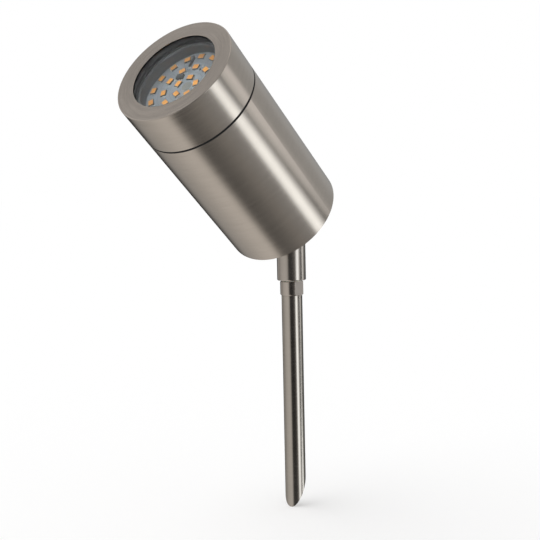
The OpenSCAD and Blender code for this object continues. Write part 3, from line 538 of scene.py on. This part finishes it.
# the seal stands up in the groove, close under the steel on both sides
seal = rounded([(27.92, 21.56), (29.82, 21.56), (29.97, 22.52), (29.5, 22.58), (29.2, 22.19), (27.92, 22.19)],
               [0.1, 0.15, 0.04, 0.0, 0.0, 0.1], hold=0.0)
piece("groove_ring", lathe(deep(seal)), "head", rubber, ("groove_seal",))

# black bead round the inside of the lip, against the glass
bead = rounded([(21.58, 0.24), (21.47, 0.30), (21.44, 0.86), (21.85, 0.86), (21.85, 0.64), (21.58, 0.62)],
               [0.0, 0.04, 0.04, 0.0, 0.0, 0.0], hold=0.0)
piece("window_bead", lathe(deep(bead)), "bezel", rubber)

# ---------------------------------------------------------------- lamp cover
COVER_R, WALL_R = 22.58, 21.58
COVER_FRONT, COVER_BACK, WALL_END = 7.6, 8.8, 13.88
disc = rounded([(COVER_R, COVER_BACK), (COVER_R, COVER_FRONT), (0.0, COVER_FRONT), (0.0, COVER_BACK)],
               [0.15, 0.5, 0.0, 0.0], 5)
piece("lens_disc", lathe(deep(disc)), "lamp", cover_clear, ("lamp_cover",), crease=30.0)
# moulded wall under the clear disc, with a round front edge
wall_front = COVER_BACK + 0.02
wall = rounded([(WALL_R, WALL_END), (COVER_R, WALL_END), (COVER_R, wall_front), (WALL_R, wall_front)],
               [0.0, 0.0, 0.0, 0.95], 10)
piece("lens_wall", lathe(deep(wall)), "lamp", wall_grey)

# ---------------------------------------------------------------- lights and the board's parts
BOARD = FACE - 0.0139
LIGHTS_PER_RING = 5
LIGHTS_TURN = 15.7  # in degrees
FIRST_RING_R, RING_GAP = 5.4918, 6.5088


def on_board(x, y, turn=0.0):
    """A place on the board's front, in millimetres and degrees."""
    return Matrix.Translation((x * MM, y * MM, BOARD)) @ Matrix.Rotation(math.radians(turn), 4, "Z")


lights = []
for ring_number in (1, 2, 3):
    count = ring_number * LIGHTS_PER_RING
    r = (FIRST_RING_R + (ring_number - 1) * RING_GAP) * MM
    for i in range(count):
        a = math.radians(LIGHTS_TURN + 360.0 * i / count)
        lights.append(Matrix.Translation((r * math.cos(a), r * math.sin(a), BOARD)) @ Matrix.Rotation(a, 4, "Z"))
shell = plate([(1.38, 1.73, 0.12, 0.0), (1.40, 1.75, 0.14, 0.08), (1.40, 1.75, 0.14, 0.64), (1.36, 1.71, 0.12, 0.70),
               (1.24, 1.58, 0.22, 0.70), (1.20, 1.54, 0.22, 0.62)])
piece("light_shells", spread(shell, lights), "lamp", side_shaded_package_look, ("led_packages",))
drop = plate([(1.22, 1.56, 0.22, 0.58), (1.21, 1.55, 0.22, 0.69), (1.08, 1.42, 0.22, 0.72), (0.7, 1.0, 0.20, 0.735)])
piece("light_resin", spread(drop, lights), "lamp", resin_look, ("led_windows",))

# solder at the ends of each light, on bare pads and on the chip's legs
CHIP_X, CHIP_Y = -6.19, 6.4
tab = plate([(0.85, 0.22, 0.06, 0.0), (0.85, 0.22, 0.06, 0.16), (0.78, 0.16, 0.05, 0.22)])
tabs = [place @ Matrix.Translation((0, side * 1.9 * MM, 0)) for place in lights for side in (-1, 1)]
pad = plate([(0.5, 0.7, 0.15, 0.0), (0.5, 0.7, 0.15, 0.06), (0.38, 0.55, 0.12, 0.12)])
pads = [on_board(-8.9, 5.0, 20), on_board(-10.4, -5.0, 60), on_board(6.5, -0.6, 0), on_board(-1.9, -6.9, 30),
        on_board(-3.57, 12.3, 90), on_board(-3.57, 18.9, 90), on_board(4.2, 12.6, 15), on_board(9.0, 8.2, 50)]
leg = plate([(0.2, 0.34, 0.05, 0.0), (0.2, 0.34, 0.05, 0.22), (0.16, 0.26, 0.04, 0.28)])
legs = [on_board(CHIP_X + dx, CHIP_Y + side * 1.72) for dx in (-1.5, 0.0, 1.5) for side in (-1, 1)]
piece("solder_joints", join(spread(tab, tabs), spread(pad, pads), spread(leg, legs)),
      "lamp", solder)

chip = plate([(1.95, 1.35, 0.1, 0.0), (2.0, 1.4, 0.1, 0.5), (1.9, 1.3, 0.1, 1.05), (1.82, 1.22, 0.1, 1.1)])
bar = plate([(0.55, 2.95, 0.15, 0.0), (0.6, 3.0, 0.18, 0.4), (0.52, 2.92, 0.18, 0.85), (0.42, 2.8, 0.15, 0.9)])
small = plate([(0.3, 0.5, 0.06, 0.0), (0.3, 0.5, 0.06, 0.4), (0.25, 0.45, 0.05, 0.45)])
dot = lathe([(0.0, 0.0), (0.0006, 0.0), (0.0006, 0.0003), (0.00042, 0.00046), (0.0, 0.0005)], 20, False)
chips = join(spread(chip, [on_board(CHIP_X, CHIP_Y)]), spread(bar, [on_board(-3.57, 15.6)]),
             spread(small, [on_board(-4.0, 3.2, 15), on_board(7.6, 10.4, 50), on_board(3.6, 10.2, -10)]),
             spread(dot, [on_board(-4.61, 19.3)]))
piece("board_chips", chips, "lamp", dark_part, ("board_parts",))
spot = lathe([(0.0, 0.0), (0.0027, 0.0), (0.0027, 0.00006), (0.00258, 0.00012), (0.0, 0.00012)], 48, False)
piece("board_spot", spread(spot, [on_board(0.3, 0.4)]), "lamp", board_spot)

# ---------------------------------------------------------------- cable gland nut
GLAND = HEAD @ Matrix.Translation((0, 0.019, 0))
GLAND_BORE_R = 0.0068
GLAND_FLAT = 0.0075  # from the axis to a flat


def six_flats(r, z, a):
    """Six flats round a dome, which leave the bore as it is."""
    if r < GLAND_BORE_R:
        return r
    return min(r, GLAND_FLAT / math.cos((a % (math.pi / 3)) - math.pi / 6))


gland = [(3.85, -3.1), (5.0, -3.1), (5.6, -2.95), (6.5, -2.2), (7.3, -1.2), (7.95, 0.0), (8.35, 1.0), (8.6, 2.0),
         (8.66, 3.0), (8.66, 6.0), (8.5, 6.35), (6.69, 6.35), (6.69, 0.9), (3.85, 0.9)]
piece("gland_nut", lathe([(r * MM, z * MM) for r, z in gland], shift=six_flats),
      "head", black_nylon, ("gland_cap",), at=GLAND, crease=28.0)

# ---------------------------------------------------------------- floor and key light
WORLD_DIFFUSE = 0.72  # the world's share of the light on a dull surface; the sun gives the rest
SUN_WAY = (-0.45, -0.35, 0.82)
SUN_SPREAD = 70
bm = bmesh.new()
bmesh.ops.create_grid(bm, x_segments=24, y_segments=24, size=30.0)
floor_mesh = bpy.data.meshes.new("floor")
bm.to_mesh(floor_mesh)
bm.free()
floor = bpy.data.objects.new("floor", floor_mesh)
floor.location = (0, 0, cad_box[0][2])
scene.collection.objects.link(floor)
floor_mat = bpy.data.materials.new("floor")
floor_mat.use_nodes = True
t = Nodes(floor_mat.node_tree)
paper = t.add("ShaderNodeBsdfDiffuse")
paper.inputs["Color"].default_value = (0.93, 0.93, 0.93, 1)
lift = t.add("ShaderNodeEmission")
lift.inputs["Strength"].default_value = 0.07
both = t.add("ShaderNodeAddShader")
out = t.add("ShaderNodeOutputMaterial")
t.tree.links.new(paper.outputs[0], both.inputs[0])
t.tree.links.new(lift.outputs[0], both.inputs[1])
t.tree.links.new(both.outputs[0], out.inputs["Surface"])
floor_mesh.materials.append(floor_mat)
floor.visible_glossy = False

key = bpy.data.lights.new("key", "SUN")
key.angle = math.radians(SUN_SPREAD)
key.energy = math.pi * (1.0 - WORLD_DIFFUSE) / math.cos(math.radians(SUN_SPREAD / 2))
key_obj = bpy.data.objects.new("key", key)
key_obj.matrix_world = Vector(SUN_WAY).normalized().to_track_quat("Z", "Y").to_matrix().to_4x4()
key_obj.visible_glossy = False
key_obj.visible_transmission = False
scene.collection.objects.link(key_obj)


# ---------------------------------------------------------------- studio, as mirrored
BEHIND_GLASS = 5.8  # how much stronger the paper is behind glass, which stops the sun
WARM = (1.0, 0.98, 0.94)
PLAIN = (1.0, 1.02, 1.02)
COOL = (1.0, 1.06, 1.09)
# screens round the upright tubes: compass angle, brightness and tint
LEVEL_SCREENS = [
    (9, 0.70, PLAIN), (17, 0.22, PLAIN), (32, 0.12, PLAIN), (47, 0.10, PLAIN), (60, 0.14, PLAIN),
    (76, 0.16, PLAIN), (90, 0.12, PLAIN), (104, 0.08, PLAIN), (134, 0.06, PLAIN), (150, 0.05, WARM),
    (158, 0.10, WARM), (166, 0.36, WARM), (174, 0.46, WARM), (182, 0.38, WARM), (192, 0.36, WARM),
    (204, 0.47, WARM), (216, 0.57, WARM), (232, 0.63, WARM), (254, 0.70, WARM), (267, 0.64, WARM),
    (275, 0.42, WARM), (282, 0.06, WARM), (292, 0.03, WARM), (306, 0.02, WARM), (320, 0.04, WARM),
    (331, 0.16, WARM), (338, 0.47, PLAIN), (345, 1.65, COOL), (356, 2.00, COOL)]
LEVEL_HEIGHT, LEVEL_IN, LEVEL_OUT = -0.16, 0.10, 0.26
# screens round the tilted head, by the angle about its axis
TILTED_SCREENS = [
    (3, 2.10, COOL), (9, 1.95, COOL), (15, 1.10, COOL), (22, 1.00, PLAIN), (34, 0.88, PLAIN),
    (47, 0.50, PLAIN), (52, 0.48, PLAIN), (74, 0.47, PLAIN), (92, 0.52, PLAIN), (120, 0.38, PLAIN),
    (138, 0.12, PLAIN), (150, 0.02, WARM), (163, 0.02, WARM), (171, 0.15, WARM), (180, 0.31, WARM),
    (190, 0.43, WARM), (210, 0.55, WARM), (236, 0.74, WARM), (252, 0.80, WARM), (259, 0.72, WARM),
    (266, 0.38, WARM), (274, 0.15, WARM), (284, 0.14, WARM), (300, 0.20, WARM), (318, 0.30, WARM),
    (338, 0.36, PLAIN), (348, 0.46, PLAIN), (355, 1.80, COOL)]
TILTED_HEIGHT, TILTED_IN, TILTED_OUT = -0.61, 0.13, 0.25
# every other direction: pale paper with soft round fields, each laid over those before it:
# azimuth, elevation, inner and outer radius in degrees, and brightness
PAPER = (0.60, 0.59, 0.57, 1)
FIELDS = [
    (75, 8, 45, 80, 0.50), (150, -45, 20, 60, 0.60), (175, -72, 8, 28, 0.75), (15, -50, 28, 48, 0.30),
    (-175, 78, 8, 30, 0.85), (-40, 40, 20, 45, 0.35), (-58, -28, 14, 34, 0.20), (-80, 25, 22, 45, 0.22),
    # the ring's face sees a wide pale field, and the window one small dark field in it
    (-175, 50, 24, 42, 0.88), (172, 37, 4, 12, 0.60), (-151, 62, 4, 12, 0.60), (-174.6, 50.1, 3, 7, 0.28)]
LAMP_FIELD = (49.5, 3, 1, 9, 1.15)

world = bpy.data.worlds.new("studio")
scene.world = world
world.use_nodes = True
world.cycles.sampling_method = "NONE"
t = Nodes(world.node_tree)
way = t.vector("NORMALIZE", t.add("ShaderNodeTexCoord").outputs["Generated"])
split_way = t.add("ShaderNodeSeparateXYZ")
t.put(split_way.inputs[0], way)
light_path = t.add("ShaderNodeLightPath")


def screens(across, up, stops):
    """Grey and bright screens standing in a ring, by the angle between two directions across it."""
    turn = t.math("FRACT", t.math("ADD", t.math("DIVIDE", t.math("ARCTAN2", up, across), math.tau), 1.0))
    node = t.add("ShaderNodeValToRGB")
    node.color_ramp.interpolation = "LINEAR"
    first, last = stops[0], stops[-1]
    gap = first[0] + 360 - last[0]
    # the colour where the ring closes; a ramp's colours end at 1, so all are halved and scaled up again
    join_level = [(a * first[0] + b * (gap - first[0])) / gap for a, b in
                  zip([last[1] * c for c in last[2]], [first[1] * c for c in first[2]])]
    elements = node.color_ramp.elements
    elements[0].position, elements[1].position = 0.0, 1.0
    for element in (elements[0], elements[1]):
        element.color = tuple(c / 2 for c in join_level) + (1,)
    for angle, level, tint in stops:
        element = elements.new(angle / 360.0)
        element.color = tuple(level * c / 2 for c in tint) + (1,)
    t.put(node.inputs[0], turn)
    return t.vector("SCALE", node.outputs["Color"], scale=2.0)


def laid_over(color, azimuth, elevation, inner, outer, level):
    """A round soft grey field over what is there."""
    a, e = math.radians(azimuth), math.radians(elevation)
    middle = (math.cos(e) * math.cos(a), math.cos(e) * math.sin(a), math.sin(e))
    near = t.vector("DOT_PRODUCT", way, middle)
    mask = t.ramp(near, math.cos(math.radians(outer)), math.cos(math.radians(inner)))
    return t.mix(mask, color, (level, level, level, 1))


level_ring = screens(split_way.outputs[0], split_way.outputs[1], LEVEL_SCREENS)
tilted_ring = screens(split_way.outputs[0], t.vector("DOT_PRODUCT", way, HEAD_Y), TILTED_SCREENS)
seen = PAPER
for field in FIELDS:
    seen = laid_over(seen, *field)
off_level = t.math("ABSOLUTE", t.math("SUBTRACT", split_way.outputs[2], LEVEL_HEIGHT))
off_tilted = t.math("ABSOLUTE", t.math("SUBTRACT", t.vector("DOT_PRODUCT", way, tuple(AIM)), TILTED_HEIGHT))
seen = t.mix(t.ramp(off_level, LEVEL_IN, LEVEL_OUT, 1.0, 0.0), seen, level_ring)
# where the two rings cross, the nearer one shows
share = t.math("MULTIPLY", t.ramp(off_tilted, TILTED_IN, TILTED_OUT, 1.0, 0.0),
               t.ramp(t.math("SUBTRACT", off_level, off_tilted), -0.05, 0.02))
seen = t.mix(share, seen, tilted_ring)
seen = laid_over(seen, *LAMP_FIELD)
white = t.math("MAXIMUM", t.math("MAXIMUM", light_path.outputs["Is Camera Ray"], light_path.outputs["Is Glossy Ray"]),
               light_path.outputs["Is Transmission Ray"])
plain = t.mix(white, (WORLD_DIFFUSE,) * 3 + (1,), (1, 1, 1, 1))
# only a mirrored view of the studio shows its fields: what lights a dull surface, or is seen straight
# through glass, is the plain paper
mirrored = t.math("GREATER_THAN", light_path.outputs["Glossy Depth"], 0.5)
scattered = t.math("GREATER_THAN", light_path.outputs["Diffuse Depth"], 0.5)
mirror = t.math("SUBTRACT", mirrored, scattered, clamp=True)
cards = t.mix(mirror, (1, 1, 1, 1), seen)
# behind glass the paper makes up for the sun
inside = t.math("MULTIPLY", scattered, light_path.outputs["Is Transmission Ray"])
ground = t.add("ShaderNodeBackground")
t.put(ground.inputs["Strength"], t.ramp(inside, 0.0, 1.0, 1.0, BEHIND_GLASS, smooth=False))
t.put(ground.inputs["Color"], t.vector("MULTIPLY", plain, cards))
t.tree.links.new(ground.outputs[0], t.add("ShaderNodeOutputWorld").inputs["Surface"])

# ---------------------------------------------------------------- camera
EYE = Vector((0.3140, -0.4657, 0.0529))
forward = Vector((-0.5742, 0.8157, -0.0698)).normalized()
up = Vector((-0.0230, 0.0691, 0.9973))
right = forward.cross(up).normalized()
up = right.cross(forward)
cam = bpy.data.cameras.new("camera")
cam.lens = 71.08
cam.sensor_width = 36.0
cam.clip_start = 0.01
cam.clip_end = 200.0
cam_obj = bpy.data.objects.new("camera", cam)
turned = Matrix((right, up, -forward)).transposed().to_4x4()
cam_obj.matrix_world = Matrix.Translation(EYE) @ turned
scene.collection.objects.link(cam_obj)
scene.camera = cam_obj
scene.view_settings.view_transform = "Standard"
